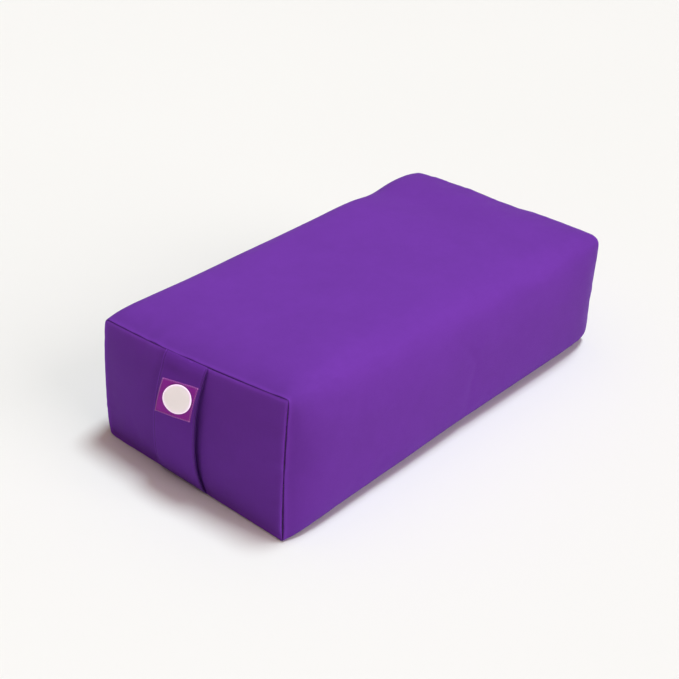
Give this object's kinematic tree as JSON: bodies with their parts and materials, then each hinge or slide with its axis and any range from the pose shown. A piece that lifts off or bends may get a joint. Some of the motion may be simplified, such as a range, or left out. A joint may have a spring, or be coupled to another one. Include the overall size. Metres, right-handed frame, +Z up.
{
  "type": "rectangular yoga bolster",
  "caption": "Firm rectangular floor bolster: zipped cotton cover with a carry strap on one end, over a stitched liner packed with filling.",
  "frame": {"origin": "bottom centre of the bounding box, on the floor that the bolster lies on", "axes": "+Z up from the floor, +Y along the bolster's long axis away from the end with the carry strap, +X across it away from the side with the zip"},
  "size_m": [0.323, 0.633, 0.178],
  "materials": {
    "cover_fabric": "fine plain-woven purple cotton, matt with a faint sheen",
    "label_fabric": "magenta woven label cloth",
    "disc_fabric": "cream woven label disc with a pale rim, bare",
    "label_thread": "pink sewing thread",
    "zip_tape": "dark purple herringbone zip tape",
    "zip_coil": "dark purple nylon coil",
    "zip_metal": "dark purple enamelled die-cast zinc",
    "liner_cotton": "unbleached plain cotton",
    "cotton_filling": "packed raw cotton"
  },
  "bodies": {
    "cushion": {"cover_wrap": "cover_fabric", "end_panel_front": "cover_fabric", "end_panel_rear": "cover_fabric", "handle_strap_top": "cover_fabric", "handle_strap_bottom": "cover_fabric", "zip_tape_upper": "zip_tape", "zip_tape_lower": "zip_tape", "zip_coil_upper": "zip_coil", "zip_coil_lower": "zip_coil", "zip_top_stop_upper": "zip_metal", "zip_top_stop_lower": "zip_metal", "zip_bottom_stop": "zip_metal", "liner_wrap": "liner_cotton", "liner_end_front": "liner_cotton", "liner_end_rear": "liner_cotton", "liner_closing_thread": "liner_cotton", "filling": "cotton_filling"},
    "handle": {"handle_strap_grip": "cover_fabric", "label_patch": "label_fabric", "label_disc": "disc_fabric", "label_thread": "label_thread"},
    "slider": {"zip_slider": "zip_metal"},
    "pull_tab": {"zip_pull_tab": "zip_metal"}
  },
  "joints": [
    {"name": "handle_lift", "type": "slide", "parent": "cushion", "child": "handle", "axis": [0, -1, 0], "range_m": [0, 0.014], "deforming": ["handle_strap_top", "handle_strap_bottom"]},
    {"name": "zip_slide", "type": "slide", "parent": "cushion", "child": "slider", "axis": [0, 1, 0], "range_m": [0, 0.544]},
    {"name": "pull_tab_flip", "type": "hinge", "parent": "slider", "child": "pull_tab", "pos_m": [-0.1554, -0.27049, 0.046], "axis": [0, 0, 1], "range_deg": [0, 170]}
  ]
}
